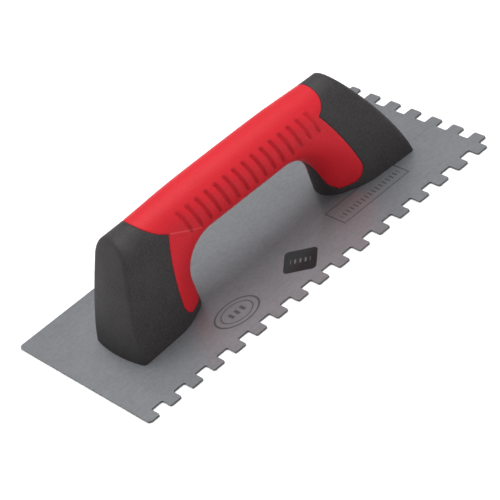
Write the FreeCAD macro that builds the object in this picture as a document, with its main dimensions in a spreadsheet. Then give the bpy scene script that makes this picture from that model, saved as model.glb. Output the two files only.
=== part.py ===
"""Notched trowel: a steel blade with square notches, held by a closed two-post handle.

The frame: X runs along the blade towards its notched short end, -Y is the notched long edge,
+Z is up. The origin is the middle of the blade's underside. Lengths are millimetres.
"""
import FreeCAD, Part
import math
import os

import Sketcher

doc = FreeCAD.newDocument("notched_trowel")

# ---------------------------------------------------------------- driving dimensions

DIMENSIONS = [
    ("blade_length", 280.0),
    ("blade_width", 130.0),
    ("blade_thickness", 1.0),
    ("blade_corner_radius", 2.5),
    ("tooth_corner_radius", 1.0),
    ("long_pitch", 16.6),
    ("long_notch_width", 8.3),
    ("long_notch_depth", 8.2),
    ("long_notch_count", 16),
    ("short_pitch", 19.0),
    ("short_notch_width", 9.5),
    ("short_notch_depth", 6.6),
    ("short_notch_count", 6),
    ("corner_notch_width", 7.8),
    ("handle_length", 226.0),
    ("end_crown_radius", 101.5),
    ("end_mid_height", 33.0),
    ("end_top_height", 66.0),
    ("rear_mid_setback", 9.0),
    ("rear_top_setback", 22.0),
    ("front_mid_setback", 10.2),
    ("front_top_setback", 28.2),
    ("end_half_width", 24.5),
    ("post_half_width", 22.0),
    ("post_offset", 22.5),
    ("waist_half_width", 17.6),
    ("waist_offset", 13.5),
    ("grip_half_width", 16.5),
    ("post_top_radius", 15.5),
    ("grip_top_height", 72.6),
    ("waist_top_height", 72.3),
    ("post_top_height", 70.8),
    ("finger_gap_length", 103.0),
    ("finger_gap_height", 37.7),
    ("finger_gap_radius", 22.0),
    ("rim_radius", 17.0),
    ("rim_angle", 62.0),
    ("skin_thickness", 2.5),
    ("skin_neck_reach", 8.6),
    ("skin_neck_height", 58.2),
    ("rear_crown_reach", 22.6),
    ("front_crown_reach", 17.0),
    ("rear_lobe_radius", 36.0),
    ("front_lobe_radius", 15.6),
    ("rear_leg_reach", 18.8),
    ("front_leg_reach", 22.8),
    ("skin_leg_height", 16.5),
    ("skin_leg_radius", 150.0),
    ("rear_toe_reach", 14.2),
    ("front_toe_reach", 12.6),
    ("skin_toe_height", 4.8),
    ("skin_toe_radius", 10.0),
    ("tongue_foot_width", 25.0),
    ("tongue_foot_height", 6.0),
    ("tongue_neck_width", 13.0),
    ("tongue_neck_height", 14.0),
    ("tongue_tip_width", 3.0),
    ("tongue_tip_height", 31.0),
    ("foot_wall", 3.5),
    ("foot_cavity_height", 26.0),
    ("cavity_draft", 13.0),
    ("cavity_nose_chamfer", 9.0),
    ("cavity_nose_width", 10.0),
    ("cavity_end_setback", 2.5),
    ("plate_thickness", 2.0),
    ("plate_clearance", 0.5),
    ("rib_thickness", 2.4),
    ("rib_height", 20.0),
    ("stud_inset", 10.5),
    ("stud_diameter", 6.0),
    ("stud_length", 45.5),
    ("stud_flange_diameter", 9.0),
    ("stud_flange_height", 1.0),
    ("stud_clearance", 0.3),
    ("nut_clearance", 0.1),
    ("boss_diameter", 15.0),
    ("well_floor_height", 37.0),
    ("well_clearance", 0.3),
    ("washer_diameter", 12.0),
    ("washer_thickness", 1.6),
    ("lock_washer_diameter", 10.4),
    ("nut_flats", 10.0),
    ("nut_height", 5.0),
    ("plug_height", 9.0),
    ("plug_clearance", 0.05),
    ("rivet_diameter", 3.2),
    ("rivet_clearance", 0.05),
    ("rivet_head_diameter", 4.8),
    ("rivet_head_height", 0.8),
    ("rivet_button_diameter", 6.4),
    ("rivet_button_height", 1.6),
    ("rivet_inner_inset", 18.5),
    ("rivet_outer_inset", 11.0),
    ("rivet_spacing", 24.0),
]


def make_sheet():
    """Write the driving dimensions to a spreadsheet, one alias each."""
    new_sheet = doc.addObject("Spreadsheet::Sheet", "Dimensions")
    for row, (name, value) in enumerate(DIMENSIONS, start=1):
        new_sheet.set("A%d" % row, name)
        new_sheet.set("B%d" % row, str(value))
        new_sheet.setAlias("B%d" % row, name)
    doc.recompute()
    return new_sheet


sheet = make_sheet()


class Size:
    """A length that knows its present value and the spreadsheet expression it follows."""

    def __init__(self, value, text):
        self.value = float(value)
        self.text = text

    def __add__(self, other):
        other = as_size(other)
        return Size(self.value + other.value, "(%s + %s)" % (self.text, other.text))

    def __sub__(self, other):
        other = as_size(other)
        return Size(self.value - other.value, "(%s - %s)" % (self.text, other.text))

    def __mul__(self, other):
        other = as_size(other)
        return Size(self.value * other.value, "(%s * %s)" % (self.text, other.text))

    def __truediv__(self, other):
        other = as_size(other)
        return Size(self.value / other.value, "(%s / %s)" % (self.text, other.text))

    def __neg__(self):
        return self * -1

    __radd__ = __add__
    __rmul__ = __mul__


def as_size(value):
    """Turn a plain number into a Size; leave a Size as it is."""
    if isinstance(value, Size):
        return value
    return Size(value, "(%r)" % value if value < 0 else repr(value))


def dim(name):
    """The Size that follows one driving dimension."""
    return Size(sheet.get(name), "Dimensions." + name)


def sine(angle):
    return Size(math.sin(math.radians(angle.value)), "sin(%s)" % angle.text)


def cosine(angle):
    return Size(math.cos(math.radians(angle.value)), "cos(%s)" % angle.text)


def bind(owner, prop, amount):
    """Set a property now and bind it to the spreadsheet."""
    owner.setExpression(prop, as_size(amount).text)


# ---------------------------------------------------------------- sketches

def new_body(name):
    return doc.addObject("PartDesign::Body", name)


def new_sketch(body, role, name, offset=(0, 0, 0)):
    """A sketch on one of the body's own origin planes, moved by an offset in the sketch's frame."""
    sketch = body.newObject("Sketcher::SketchObject", name)
    plane = [item for item in body.Origin.OriginFeatures if item.Role == role][0]
    sketch.AttachmentSupport = (plane, [""])
    sketch.MapMode = "FlatFace"
    offset = [as_size(part) for part in offset]
    values = FreeCAD.Vector(*[part.value for part in offset])
    sketch.AttachmentOffset = FreeCAD.Placement(values, FreeCAD.Rotation())
    for axis, part in zip("xyz", offset):
        if part.value:
            bind(sketch, "AttachmentOffset.Base." + axis, part)
    return sketch


def pin_point(sketch, index, end, point):
    """Hold one end of a curve at a place given by two Sizes."""
    for kind, part in zip(("DistanceX", "DistanceY"), point):
        part = as_size(part)
        number = sketch.addConstraint(Sketcher.Constraint(kind, -1, 1, index, end, part.value))
        bind(sketch, "Constraints[%d]" % number, part)


def pin_radius(sketch, index, radius):
    radius = as_size(radius)
    number = sketch.addConstraint(Sketcher.Constraint("Radius", index, radius.value))
    bind(sketch, "Constraints[%d]" % number, radius)


def plain(point):
    """The present place of a point, as a vector in the sketch's plane."""
    return FreeCAD.Vector(as_size(point[0]).value, as_size(point[1]).value, 0)


def arc_between(start, end, radius):
    """The short arc from start to end; a positive radius bulges to the right of the way travelled."""
    chord = end - start
    half = chord.Length / 2
    side = FreeCAD.Vector(chord.y, -chord.x, 0).normalize()
    rise = abs(radius) - math.sqrt(radius ** 2 - half ** 2)
    middle = (start + end) * 0.5 + side * math.copysign(rise, radius)
    return Part.Arc(start, middle, end)


def draw_path(sketch, points, arcs=None, closed=True):
    """Join the points with lines, or with arcs where arcs gives a radius for that segment."""
    arcs = arcs or {}
    count = len(points) if closed else len(points) - 1
    indices = []
    for number in range(count):
        start = plain(points[number])
        end = plain(points[(number + 1) % len(points)])
        if number in arcs:
            curve = arc_between(start, end, as_size(arcs[number]).value)
            counter_clockwise = as_size(arcs[number]).value > 0
        else:
            curve = Part.LineSegment(start, end)
            counter_clockwise = True
        indices.append((sketch.addGeometry(curve, False), counter_clockwise))
    for number, (index, forward) in enumerate(indices):
        start_end = 1 if forward else 2
        pin_point(sketch, index, start_end, points[number])
        if number in arcs:
            radius = as_size(arcs[number])
            pin_radius(sketch, index, radius if radius.value > 0 else -radius)
    for number in range(len(indices) if closed else len(indices) - 1):
        index, forward = indices[number]
        next_index, next_forward = indices[(number + 1) % len(indices)]
        sketch.addConstraint(Sketcher.Constraint(
            "Coincident", index, 2 if forward else 1, next_index, 1 if next_forward else 2))
    if not closed:
        index, forward = indices[-1]
        pin_point(sketch, index, 2 if forward else 1, points[-1])
    return sketch


def rectangle(low, high):
    """The corners of a rectangle, counter-clockwise."""
    return [(low[0], low[1]), (high[0], low[1]), (high[0], high[1]), (low[0], high[1])]


def pad(body, sketch, length, name, both_ways=False, draft=None):
    feature = body.newObject("PartDesign::Pad", name)
    feature.Profile = sketch
    bind(feature, "Length", length)
    feature.Midplane = both_ways
    if draft is not None:
        bind(feature, "TaperAngle", -draft)
    return feature


def pocket_through(body, sketch, name):
    """Cut the sketch through the whole body, both ways from its plane."""
    feature = body.newObject("PartDesign::Pocket", name)
    feature.Profile = sketch
    feature.Type = 1
    feature.Midplane = True
    return feature


def row_of(body, feature, axis_role, spacing, count, name):
    """Repeat a feature along one of the body's origin axes."""
    pattern = body.newObject("PartDesign::LinearPattern", name)
    pattern.Originals = [feature]
    axis = [item for item in body.Origin.OriginFeatures if item.Role == axis_role][0]
    pattern.Direction = (axis, [""])
    bind(pattern, "Length", spacing * (count - 1))
    pattern.Occurrences = int(count.value)
    body.Tip = pattern
    return pattern


def fillet_where(body, radius, chosen, name):
    """Round every straight upright edge whose middle the test picks."""
    doc.recompute()
    base = body.Tip
    edges = []
    for number, edge in enumerate(base.Shape.Edges, start=1):
        upright = edge.BoundBox.XLength < 1e-6 and edge.BoundBox.YLength < 1e-6
        if upright and chosen(edge.CenterOfMass):
            edges.append("Edge%d" % number)
    feature = body.newObject("PartDesign::Fillet", name)
    feature.Base = (base, edges)
    bind(feature, "Radius", radius)
    body.Tip = feature
    return feature


# ---------------------------------------------------------------- simple Part objects

def cylinder(name, radius, height, x, y, z):
    item = doc.addObject("Part::Cylinder", name)
    bind(item, "Radius", radius)
    bind(item, "Height", height)
    place(item, x, y, z)
    return item


def cone(name, low_radius, high_radius, height, x, y, z):
    item = doc.addObject("Part::Cone", name)
    bind(item, "Radius1", low_radius)
    bind(item, "Radius2", high_radius)
    bind(item, "Height", height)
    place(item, x, y, z)
    return item


def box(name, sizes, x, y, z):
    """A box with its low corner at x, y, z."""
    item = doc.addObject("Part::Box", name)
    for prop, amount in zip(("Length", "Width", "Height"), sizes):
        bind(item, prop, amount)
    place(item, x, y, z)
    return item


def place(item, x, y, z):
    for axis, amount in zip("xyz", (x, y, z)):
        bind(item, "Placement.Base." + axis, amount)


def cut(name, base, tool):
    item = doc.addObject("Part::Cut", name)
    item.Base = base
    item.Tool = tool
    return item


def fuse(name, items):
    item = doc.addObject("Part::MultiFuse", name)
    item.Shapes = items
    return item


def common(name, items):
    item = doc.addObject("Part::MultiCommon", name)
    item.Shapes = items
    return item


def compound(name, items):
    item = doc.addObject("Part::Compound", name)
    item.Links = items
    return item


# ---------------------------------------------------------------- shared places

ENDS = {"rear": -1, "front": 1}
BELOW = 6.0   # how far a cutting tool runs past a face
FAR = 60.0    # larger than any reach across the handle
blade_top = dim("blade_thickness")
plate_top = blade_top + dim("plate_thickness")
gap_end = dim("finger_gap_length") / 2
handle_end = dim("handle_length") / 2
stud_station = gap_end + dim("stud_inset")
post_station = gap_end + dim("post_offset")
waist_station = gap_end - dim("waist_offset")
cavity_inner = gap_end + dim("skin_thickness") + dim("foot_wall")
cavity_outer = handle_end - dim("foot_wall") - dim("cavity_end_setback")
plate_edge_gap = dim("plate_clearance") * 2
rivet_inner_station = cavity_inner + plate_edge_gap + dim("rivet_inner_inset")
rivet_outer_station = cavity_outer - plate_edge_gap - dim("rivet_outer_inset")
well_radius = dim("washer_diameter") / 2 + dim("well_clearance")


def rivet_places(side):
    """The four rivet centres of one foot."""
    return [(station * side, dim("rivet_spacing") * across)
            for station in (rivet_inner_station, rivet_outer_station) for across in (-0.5, 0.5)]


# ---------------------------------------------------------------- blade

def make_blade():
    """The blade: a flat sheet with square notches along one long and one short edge."""
    body = new_body("blade_sheet")
    half_length = dim("blade_length") / 2
    half_width = dim("blade_width") / 2
    outline = new_sketch(body, "XY_Plane", "blade_outline")
    draw_path(outline, rectangle((-half_length, -half_width), (half_length, half_width)))
    pad(body, outline, dim("blade_thickness"), "blade_pad")

    first_x = half_length - dim("short_notch_depth") - dim("long_notch_width") * 2
    notch = new_sketch(body, "XY_Plane", "long_notch")
    low = (first_x - dim("long_pitch") * (dim("long_notch_count") - 1), -half_width - BELOW)
    high = (low[0] + dim("long_notch_width"), -half_width + dim("long_notch_depth"))
    draw_path(notch, rectangle(low, high))
    notch_cut = pocket_through(body, notch, "long_notch_cut")
    row_of(body, notch_cut, "X_Axis", dim("long_pitch"), dim("long_notch_count"), "long_notches")

    first_y = -half_width + dim("corner_notch_width") + dim("short_notch_width")
    notch = new_sketch(body, "XY_Plane", "short_notch")
    low = (half_length - dim("short_notch_depth"), first_y)
    high = (half_length + BELOW, first_y + dim("short_notch_width"))
    draw_path(notch, rectangle(low, high))
    notch_cut = pocket_through(body, notch, "short_notch_cut")
    row_of(body, notch_cut, "Y_Axis", dim("short_pitch"), dim("short_notch_count"), "short_notches")

    notch = new_sketch(body, "XY_Plane", "corner_notch")
    low = (half_length - dim("short_notch_depth"), -half_width - BELOW)
    high = (half_length + BELOW, -half_width + dim("corner_notch_width"))
    draw_path(notch, rectangle(low, high))
    pocket_through(body, notch, "corner_notch_cut")

    plain_end = -half_length.value + 1
    fillet_where(body, dim("blade_corner_radius"), lambda middle: middle.x < plain_end, "corner_rounds")
    fillet_where(body, dim("tooth_corner_radius"), lambda middle: middle.x > plain_end + 5, "tooth_rounds")

    gap = dim("rivet_clearance")
    hole_radius = dim("rivet_diameter") / 2 + gap
    holes = []
    for end, side in ENDS.items():
        for number, (x, y) in enumerate(rivet_places(side), start=1):
            label = "%s_hole_%d" % (end, number)
            holes.append(cone(label + "_sink", dim("rivet_head_diameter") / 2 + gap, hole_radius,
                              dim("rivet_head_height"), x, y, 0))
            holes.append(cylinder(label, hole_radius, dim("blade_thickness") + BELOW * 2, x, y, -BELOW))
    return cut("blade", body, fuse("rivet_holes", holes))


# ---------------------------------------------------------------- handle form

def tangent_point(foot, centre_height, radius):
    """Where the line from the foot's corner touches the top arc, on the +Y side."""
    reach = math.hypot(foot, centre_height)
    heading = math.atan2(centre_height, -foot) - math.asin(radius / reach)
    length = math.sqrt(reach ** 2 - radius ** 2)
    return FreeCAD.Vector(foot + length * math.cos(heading), length * math.sin(heading), 0)


def draw_section(sketch, half_width, top_height, top_radius):
    """One section across the handle: a flat foot on the blade, two drafted sides, a round top."""
    foot_height = blade_top.value
    centre_height = (top_height - top_radius).value
    touch = tangent_point(half_width.value, centre_height - foot_height, top_radius.value)
    right = FreeCAD.Vector(touch.x, touch.y + foot_height, 0)
    left = FreeCAD.Vector(-right.x, right.y, 0)
    foot_right = FreeCAD.Vector(half_width.value, foot_height, 0)
    foot_left = FreeCAD.Vector(-half_width.value, foot_height, 0)
    top = FreeCAD.Vector(0, top_height.value, 0)
    sketch.addGeometry(Part.LineSegment(foot_left, foot_right), False)
    sketch.addGeometry(Part.LineSegment(foot_right, right), False)
    sketch.addGeometry(Part.Arc(right, top, left), False)
    sketch.addGeometry(Part.LineSegment(left, foot_left), False)
    pin_point(sketch, 0, 1, (-half_width, blade_top))
    pin_point(sketch, 0, 2, (half_width, blade_top))
    sketch.addConstraint(Sketcher.Constraint("Coincident", 0, 2, 1, 1))
    sketch.addConstraint(Sketcher.Constraint("Coincident", 3, 2, 0, 1))
    sketch.addConstraint(Sketcher.Constraint("Tangent", 1, 2, 2, 1))
    sketch.addConstraint(Sketcher.Constraint("Tangent", 2, 2, 3, 1))
    pin_radius(sketch, 2, top_radius)
    number = sketch.addConstraint(Sketcher.Constraint("DistanceY", -1, 1, 2, 3, centre_height))
    bind(sketch, "Constraints[%d]" % number, top_height - top_radius)


def make_handle_form(name, inset):
    """The handle's outer form, or with an inset the form that lies below its soft skin."""
    body = new_body(name)
    loft = body.newObject("PartDesign::AdditiveLoft", name + "_block")
    stations = [
        (handle_end, "end_half_width", "post_top_height", "post_top_radius"),
        (post_station, "post_half_width", "post_top_height", "post_top_radius"),
        (waist_station, "waist_half_width", "waist_top_height", "grip_half_width"),
    ]
    places = [(-station[0],) + station[1:] for station in stations]
    places.append((as_size(0), "grip_half_width", "grip_top_height", "grip_half_width"))
    places += list(reversed(stations))
    sections = []
    for number, (x, width, height, radius) in enumerate(places, start=1):
        sketch = new_sketch(body, "YZ_Plane", "%s_section_%d" % (name, number), (0, 0, x))
        draw_section(sketch, dim(width) - inset, dim(height) - inset, dim(radius) - inset)
        sections.append(sketch)
    loft.Profile = sections[0]
    loft.Sections = sections[1:]
    loft.Ruled = False
    body.Tip = loft
    doc.recompute()

    for end, side in ENDS.items():
        cut_end(body, name, end, side, inset)
    cut_finger_gap(body, name, inset)
    return body


def cut_end(body, name, end, side, inset):
    """Lean one end inwards and crown it, by turning a profile about an upright axis."""
    crown = (dim("end_crown_radius") - inset) * side
    centre = (handle_end - dim("end_crown_radius")) * side
    sketch = new_sketch(body, "XZ_Plane", "%s_%s_profile" % (name, end), (centre, 0, 0))
    top = dim("end_top_height")
    mid_setback = dim(end + "_mid_setback") * side
    top_setback = dim(end + "_top_setback") * side
    points = [
        (crown, as_size(-BELOW)),
        (crown, 0),
        (crown - mid_setback, dim("end_mid_height")),
        (crown - top_setback, top),
        (crown - top_setback - 15 * side, top + 24),
        (crown + 40 * side, top + 24),
        (crown + 40 * side, as_size(-BELOW)),
    ]
    draw_path(sketch, points if side < 0 else points[::-1])
    groove = body.newObject("PartDesign::Groove", "%s_%s_cut" % (name, end))
    groove.Profile = sketch
    groove.ReferenceAxis = (sketch, ["V_Axis"])
    groove.Angle = 80
    groove.Midplane = True
    body.Tip = groove
    doc.recompute()


def gap_outline(inset):
    """The finger gap seen from the side: up one post, over under the grip, down the other."""
    half = gap_end + inset
    top = dim("finger_gap_height") + inset
    corner = dim("finger_gap_radius") + inset
    low = as_size(-BELOW)
    points = [(-half, low), (-half, top - corner), (-half + corner, top),
              (half - corner, top), (half, top - corner), (half, low)]
    arcs = {1: -corner, 3: -corner}
    return points, arcs


def cut_finger_gap(body, name, inset):
    """Open the gap for the fingers and round its rim, so that the grip and the posts are round."""
    points, arcs = gap_outline(inset)
    outline = new_sketch(body, "XZ_Plane", name + "_gap_outline")
    draw_path(outline, points, arcs)
    pocket_through(body, outline, name + "_gap_cut")
    path = new_sketch(body, "XZ_Plane", name + "_gap_path")
    draw_path(path, points, arcs, closed=False)

    radius = dim("rim_radius") - inset
    turn = dim("rim_angle")
    tip = -gap_end - inset
    touch_x = tip - radius + radius * cosine(turn)
    touch_y = radius * sine(turn)
    reach = as_size(FAR / 2)
    out_x = touch_x - (reach - touch_y) * sine(turn) / cosine(turn)
    ears = new_sketch(body, "XY_Plane", name + "_rim_profile", (0, 0, -BELOW))
    profile = [(touch_x, -touch_y), (touch_x, touch_y), (out_x, reach), (tip + 3, reach),
               (tip + 3, -reach), (out_x, -reach)]
    draw_path(ears, profile, {0: radius})
    pipe = body.newObject("PartDesign::SubtractivePipe", name + "_rim_cut")
    pipe.Profile = ears
    pipe.Spine = (path, ["Edge%d" % number for number in range(1, 6)])
    body.Tip = pipe
    doc.recompute()


# ---------------------------------------------------------------- soft skin and hard core

def skin_side(end):
    """One end of the soft skin's side-view outline, from its toe on the post up over the grip."""
    return [
        (gap_end + dim(end + "_toe_reach"), dim("skin_toe_height")),
        (gap_end + dim(end + "_leg_reach"), dim("skin_leg_height")),
        (gap_end + dim("skin_neck_reach"), dim("skin_neck_height")),
        (gap_end + dim(end + "_crown_reach"), dim("post_top_height") + 1),
        (gap_end + dim(end + "_crown_reach"), dim("grip_top_height") + BELOW),
    ]


def make_skin_block(inner_form):
    """Everything the soft skin may fill: its side-view outline, less the core and its bare tongues."""
    body = new_body("skin_outline_block")
    right = skin_side("front")
    left = [(-x, z) for x, z in reversed(skin_side("rear"))]
    toe = dim("skin_toe_radius")
    leg = dim("skin_leg_radius")
    arcs = {0: toe, 1: leg, 2: dim("front_lobe_radius"), 6: dim("rear_lobe_radius"), 7: leg, 8: toe}
    sketch = new_sketch(body, "XZ_Plane", "skin_outline")
    draw_path(sketch, right + left, arcs)
    pad(body, sketch, FAR, "skin_outline_pad", both_ways=True)

    tongue = new_body("tongue_block")
    half = [
        (dim("tongue_foot_width") / 2, as_size(-BELOW)),
        (dim("tongue_foot_width") / 2, dim("tongue_foot_height")),
        (dim("tongue_neck_width") / 2, dim("tongue_neck_height")),
        (dim("tongue_tip_width") / 2, dim("tongue_tip_height")),
    ]
    sketch = new_sketch(tongue, "YZ_Plane", "tongue_outline")
    draw_path(sketch, half + [(-y, z) for y, z in reversed(half)])
    reach = dim("finger_gap_length") + dim("rim_radius")
    pad(tongue, sketch, reach, "tongue_pad", both_ways=True)
    return cut("skin_block", cut("skin_outline_less_tongues", body, tongue), inner_form)


def cavity_outline(side, inset):
    """The outline of one foot's cavity at the blade: a chamfered nose and a square outer end."""
    inner = cavity_inner + inset
    outer = cavity_outer - inset
    nose = dim("cavity_nose_width") / 2 - inset / 2
    chamfer = dim("cavity_nose_chamfer")
    shoulder = nose + chamfer
    half = dim("end_half_width") - dim("foot_wall") - 1 - inset
    points = [(inner, -nose), (inner + chamfer, -shoulder), (inner + chamfer * 2.5, -half), (outer, -half),
              (outer, half), (inner + chamfer * 2.5, half), (inner + chamfer, shoulder), (inner, nose)]
    if side > 0:
        return points
    return [(-x, y) for x, y in reversed(points)]


def make_cavity(end, side):
    """The hollow of one foot, less the stud boss and the two ribs that stand in it."""
    body = new_body(end + "_cavity_block")
    sketch = new_sketch(body, "XY_Plane", end + "_cavity_outline", (0, 0, blade_top))
    draw_path(sketch, cavity_outline(side, as_size(0)))
    pad(body, sketch, dim("foot_cavity_height"), end + "_cavity_pad", draft=dim("cavity_draft"))
    height = dim("foot_cavity_height") + BELOW
    boss = cylinder(end + "_boss", dim("boss_diameter") / 2, height, stud_station * side, 0, plate_top)
    thickness = dim("rib_thickness")
    middle = (rivet_inner_station + rivet_outer_station) / 2
    cross = box(end + "_cross_rib", (thickness, FAR, dim("rib_height")),
                middle * side - thickness / 2, -FAR / 2, plate_top)
    long_start = stud_station if side > 0 else -handle_end
    along = box(end + "_long_rib", (handle_end - stud_station, thickness, dim("rib_height")),
                long_start, -(thickness / 2), plate_top)
    return cut(end + "_cavity", body, fuse(end + "_cavity_islands", [boss, cross, along]))


def make_stud_passage(end, side):
    """The stepped hole for one stud: collar recess, clearance hole and the nut's well above it."""
    x = stud_station * side
    clearance = dim("stud_clearance")
    floor = dim("well_floor_height")
    recess = cylinder(end + "_collar_recess", dim("stud_flange_diameter") / 2 + clearance,
                      dim("plate_thickness") + dim("stud_flange_height") + clearance, x, 0, blade_top)
    hole = cylinder(end + "_stud_hole", dim("stud_diameter") / 2 + clearance, floor, x, 0, plate_top)
    well = cylinder(end + "_nut_well", well_radius, FAR, x, 0, floor)
    return fuse(end + "_stud_passage", [recess, hole, well])


def make_handle():
    """The hard core and the soft skin moulded round it."""
    outer_form = make_handle_form("outer_form", as_size(0))
    inner_form = make_handle_form("inner_form", dim("skin_thickness"))
    skin_block = make_skin_block(inner_form)
    soft_grip = common("soft_grip", [outer_form, skin_block])
    core_blank = cut("core_blank", outer_form, skin_block)
    tools = []
    for end, side in ENDS.items():
        tools.append(make_cavity(end, side))
        tools.append(make_stud_passage(end, side))
    handle_core = cut("handle_core", core_blank, fuse("core_cutters", tools))
    return handle_core, soft_grip, inner_form


# ---------------------------------------------------------------- fixings

def make_mounting_plate(end, side):
    """A steel plate inside one foot, on the blade, with its four rivet holes."""
    body = new_body(end + "_plate_blank")
    sketch = new_sketch(body, "XY_Plane", end + "_plate_outline", (0, 0, blade_top))
    draw_path(sketch, cavity_outline(side, plate_edge_gap))
    pad(body, sketch, dim("plate_thickness"), end + "_plate_pad")
    radius = dim("rivet_diameter") / 2 + dim("rivet_clearance")
    holes = [cylinder("%s_plate_hole_%d" % (end, number), radius, BELOW * 2, x, y, 0)
             for number, (x, y) in enumerate(rivet_places(side), start=1)]
    return cut(end + "_mounting_plate", body, fuse(end + "_plate_holes", holes))


def make_rivets(end, side):
    """Four rivets, countersunk flush with the blade's underside and headed over the plate."""
    rivets = []
    for number, (x, y) in enumerate(rivet_places(side), start=1):
        label = "%s_rivet_%d" % (end, number)
        sink = cone(label + "_sink", dim("rivet_head_diameter") / 2, dim("rivet_diameter") / 2,
                    dim("rivet_head_height"), x, y, 0)
        shank = cylinder(label + "_shank", dim("rivet_diameter") / 2,
                         plate_top + dim("rivet_button_height") / 2, x, y, 0)
        button = cone(label + "_button", dim("rivet_button_diameter") / 2, dim("rivet_diameter") / 2,
                      dim("rivet_button_height"), x, y, plate_top)
        rivets.append(fuse(label, [sink, shank, button]))
    return compound(end + "_rivets", rivets)


def make_stud(end, side):
    """A stud welded to the mounting plate, with its weld collar."""
    x = stud_station * side
    rod = cylinder(end + "_stud_rod", dim("stud_diameter") / 2, dim("stud_length"), x, 0, plate_top)
    collar = cylinder(end + "_stud_collar", dim("stud_flange_diameter") / 2, dim("stud_flange_height"),
                      x, 0, plate_top)
    return fuse(end + "_stud", [rod, collar])


def make_ring(name, outer_diameter, thickness, x, z):
    """A flat ring round the stud."""
    disc = cylinder(name + "_disc", outer_diameter / 2, thickness, x, 0, z)
    bore = cylinder(name + "_bore", dim("stud_diameter") / 2 + dim("nut_clearance"), thickness + BELOW,
                    x, 0, z - BELOW / 2)
    return cut(name, disc, bore)


def make_nut(end, side, z):
    """A hexagon nut round the stud."""
    x = stud_station * side
    prism = doc.addObject("Part::Prism", end + "_nut_prism")
    prism.Polygon = 6
    bind(prism, "Circumradius", dim("nut_flats") / 2 / cosine(as_size(30)))
    bind(prism, "Height", dim("nut_height"))
    place(prism, x, 0, z)
    bore = cylinder(end + "_nut_bore", dim("stud_diameter") / 2 + dim("nut_clearance"),
                    dim("nut_height") + BELOW, x, 0, z - BELOW / 2)
    return cut(end + "_nut", prism, bore)


def make_well_plug(end, side, inner_form):
    """The plug that closes one nut well flush with the core, under the soft skin."""
    radius = well_radius - dim("plug_clearance")
    height = dim("plug_height") + BELOW
    top = dim("post_top_height") - dim("skin_thickness")
    bar = cylinder(end + "_plug_bar", radius, height, stud_station * side, 0, top - dim("plug_height"))
    return common(end + "_well_plug", [bar, inner_form])


def make_fixings(end, side, inner_form):
    """Every piece that holds one foot of the handle to the blade."""
    x = stud_station * side
    floor = dim("well_floor_height")
    ring_thickness = dim("washer_thickness")
    return [
        make_mounting_plate(end, side),
        make_rivets(end, side),
        make_stud(end, side),
        make_ring(end + "_washer", dim("washer_diameter"), ring_thickness, x, floor),
        make_ring(end + "_lock_washer", dim("lock_washer_diameter"), ring_thickness, x, floor + ring_thickness),
        make_nut(end, side, floor + ring_thickness * 2),
        make_well_plug(end, side, inner_form),
    ]


# ---------------------------------------------------------------- build, check and write

def check_document():
    """Stop if any object failed to build."""
    for item in doc.Objects:
        bad = [state for state in item.State if state in ("Invalid", "Error")]
        if bad:
            raise RuntimeError("%s is %s" % (item.Name, bad))


def check_shape(item):
    """Stop if a node's shape is missing, broken or has no solid."""
    shape = item.Shape
    if shape.isNull() or not shape.isValid() or not shape.Solids:
        raise RuntimeError("%s has no sound shape" % item.Label)


def write_nodes(nodes):
    os.makedirs("parts", exist_ok=True)
    for item in nodes:
        item.Shape.exportStep("parts/%s.step" % item.Label)


def main():
    blade = make_blade()
    handle_core, soft_grip, inner_form = make_handle()
    nodes = [blade, handle_core, soft_grip]
    for end, side in ENDS.items():
        nodes += make_fixings(end, side, inner_form)
    doc.recompute()
    check_document()
    for item in nodes:
        check_shape(item)
    write_nodes(nodes)


main()
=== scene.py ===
"""The looks of a notched trowel: satin steel blade, hard black handle core, soft red grip.

The file is laid out as an add-on. Run as a script, it loads the packed model as a fixed frame,
registers its classes, and makes each piece and the studio.
In the frame, X runs to the notched short end, -Y to the notched long edge and +Z up.
"""
import math
from types import SimpleNamespace

import bmesh
import bpy
import numpy as np
from bpy.props import FloatProperty, FloatVectorProperty, IntProperty
from mathutils import Matrix, Vector


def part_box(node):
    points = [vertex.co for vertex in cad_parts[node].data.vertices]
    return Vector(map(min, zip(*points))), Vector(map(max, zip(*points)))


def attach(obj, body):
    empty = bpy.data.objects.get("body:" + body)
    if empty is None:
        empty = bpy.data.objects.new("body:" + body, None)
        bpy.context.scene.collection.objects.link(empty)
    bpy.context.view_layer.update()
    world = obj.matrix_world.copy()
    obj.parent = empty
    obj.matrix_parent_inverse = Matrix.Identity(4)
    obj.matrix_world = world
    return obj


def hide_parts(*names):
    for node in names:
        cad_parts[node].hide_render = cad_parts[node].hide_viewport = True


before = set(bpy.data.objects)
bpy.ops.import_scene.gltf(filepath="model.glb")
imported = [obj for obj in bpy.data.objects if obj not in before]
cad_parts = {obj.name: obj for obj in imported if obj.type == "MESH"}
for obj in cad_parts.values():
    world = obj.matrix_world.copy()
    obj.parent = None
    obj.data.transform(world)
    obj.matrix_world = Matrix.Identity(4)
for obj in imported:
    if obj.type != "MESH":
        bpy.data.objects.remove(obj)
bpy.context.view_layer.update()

bl_info = {
    "name": "Notched trowel looks",
    "version": (1, 0, 0),
    "blender": (4, 5, 0),
    "location": "3D View > Sidebar > Trowel",
    "description": "Makes the visual model and the studio of a notched trowel",
    "category": "Object",
}

MM = 0.001
ENDS = {"rear": -1.0, "front": 1.0}
CREASE_ANGLE = math.radians(33)


# ---------------------------------------------------------------- settings

def millimetres(name, value, description):
    """A length setting, written here in millimetres and kept in metres."""
    return FloatProperty(name=name, default=value * MM, unit="LENGTH", precision=5, description=description)


def lengths(name, values, description):
    """Several lengths in one setting, written here in millimetres and kept in metres."""
    return FloatVectorProperty(name=name, size=len(values), default=[value * MM for value in values],
                               unit="LENGTH", precision=5, description=description)


def each_end(name, rear, front, description):
    """A length that differs between the two ends of the handle."""
    return lengths(name + ", rear and front", (rear, front), description)


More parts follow.
